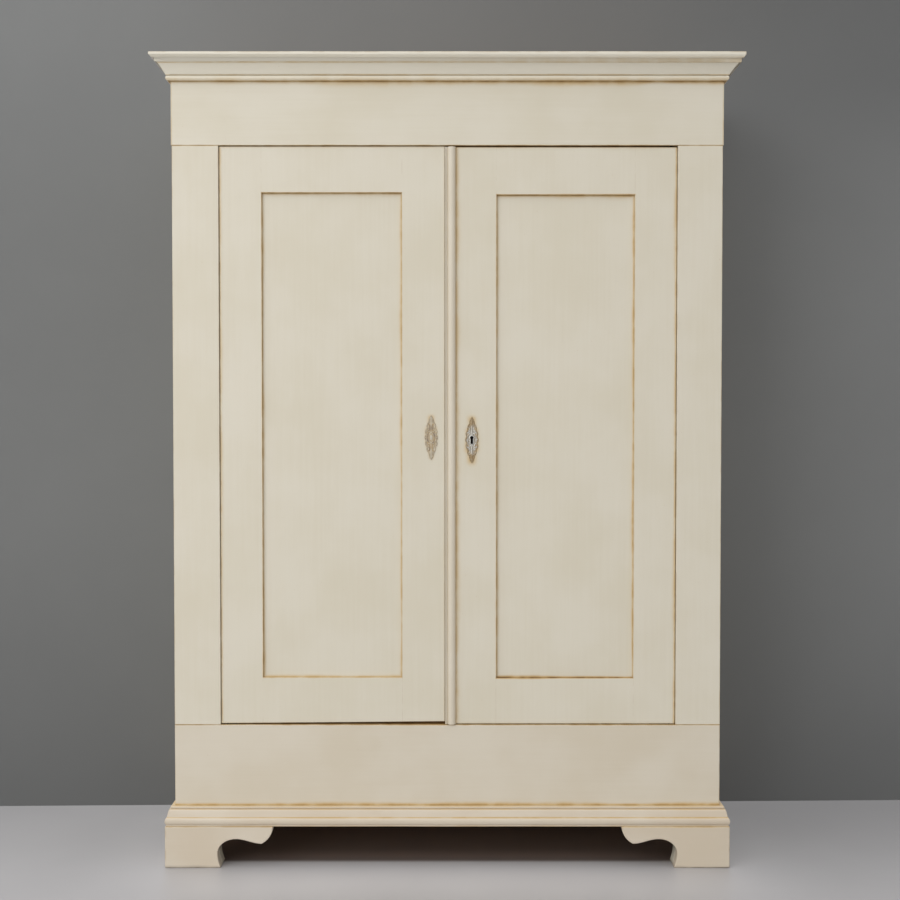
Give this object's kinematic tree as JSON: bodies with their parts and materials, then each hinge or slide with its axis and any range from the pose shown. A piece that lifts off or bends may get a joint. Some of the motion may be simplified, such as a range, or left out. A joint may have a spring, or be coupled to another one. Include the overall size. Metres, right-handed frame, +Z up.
{
  "type": "wardrobe",
  "caption": "Free-standing painted wardrobe with two panelled doors, a moulded cornice, a plain frieze and a moulded base on bracket feet; hat shelf and hanging rail inside.",
  "frame": {"origin": "on the floor, under the middle of the whole piece's width and depth", "axes": "+Z up, +X to the right of someone facing the doors, +Y from the front to the back"},
  "size_m": [1.4326, 0.5663, 1.98],
  "materials": {
    "cream_paint": "hand-brushed cream paint with a brown glaze left in the joints",
    "old_pine": "bare planed pine, darkened with age",
    "dark_iron": "dark aged iron",
    "tarnished_brass": "tarnished, with paint in its hollows"
  },
  "bodies": {
    "carcase": {"side_left": "cream_paint", "side_right": "cream_paint", "front_stile_left": "cream_paint", "front_stile_right": "cream_paint", "frieze_rail": "cream_paint", "lower_rail": "cream_paint", "top_board": "old_pine", "bottom_board": "old_pine", "bottom_bearer": "old_pine", "back_board_1": "old_pine", "back_board_2": "old_pine", "back_board_3": "old_pine", "back_board_4": "old_pine", "back_board_5": "old_pine", "cornice_front": "cream_paint", "cornice_left": "cream_paint", "cornice_right": "cream_paint", "base_moulding_front": "cream_paint", "base_moulding_left": "cream_paint", "base_moulding_right": "cream_paint", "foot_front_left": "cream_paint", "foot_front_right": "cream_paint", "foot_side_front_left": "cream_paint", "foot_side_front_right": "cream_paint", "foot_side_rear_left": "cream_paint", "foot_side_rear_right": "cream_paint", "foot_block_front_left": "old_pine", "foot_block_front_right": "old_pine", "foot_post_rear_left": "old_pine", "foot_post_rear_right": "old_pine", "door_stop_top": "old_pine", "door_stop_bottom": "old_pine", "hat_shelf": "old_pine", "shelf_cleat_left": "old_pine", "shelf_cleat_right": "old_pine", "hanging_pole": "old_pine"},
    "left_door": {"left_door_hinge_stile": "cream_paint", "left_door_meeting_stile": "cream_paint", "left_door_top_rail": "cream_paint", "left_door_bottom_rail": "cream_paint", "left_door_panel": "cream_paint", "left_door_top_pin": "dark_iron", "left_door_bottom_pin": "dark_iron", "escutcheon_left": "tarnished_brass", "lock_keeper": "dark_iron", "left_door_top_bolt_plate": "dark_iron", "left_door_bottom_bolt_plate": "dark_iron"},
    "right_door": {"right_door_hinge_stile": "cream_paint", "right_door_meeting_stile": "cream_paint", "right_door_top_rail": "cream_paint", "right_door_bottom_rail": "cream_paint", "right_door_panel": "cream_paint", "right_door_top_pin": "dark_iron", "right_door_bottom_pin": "dark_iron", "cover_strip": "cream_paint", "escutcheon_right": "tarnished_brass", "lock_case": "dark_iron"},
    "lock_bolt": {"lock_bolt": "dark_iron"},
    "left_door_top_bolt": {"left_door_top_bolt": "dark_iron"},
    "left_door_bottom_bolt": {"left_door_bottom_bolt": "dark_iron"}
  },
  "joints": [
    {"name": "left_door_swing", "type": "hinge", "parent": "carcase", "child": "left_door", "pos_m": [-0.542, -0.226, 0.348], "axis": [0, 0, -1], "range_deg": [0, 110]},
    {"name": "right_door_swing", "type": "hinge", "parent": "carcase", "child": "right_door", "pos_m": [0.546, -0.226, 0.348], "axis": [0, 0, 1], "range_deg": [0, 110]},
    {"name": "lock_bolt_slide", "type": "slide", "parent": "right_door", "child": "lock_bolt", "axis": [-1, 0, 0], "range_m": [0, 0.015]},
    {"name": "left_door_top_bolt_slide", "type": "slide", "parent": "left_door", "child": "left_door_top_bolt", "axis": [0, 0, 1], "range_m": [0, 0.0125]},
    {"name": "left_door_bottom_bolt_slide", "type": "slide", "parent": "left_door", "child": "left_door_bottom_bolt", "axis": [0, 0, -1], "range_m": [0, 0.0125]}
  ]
}
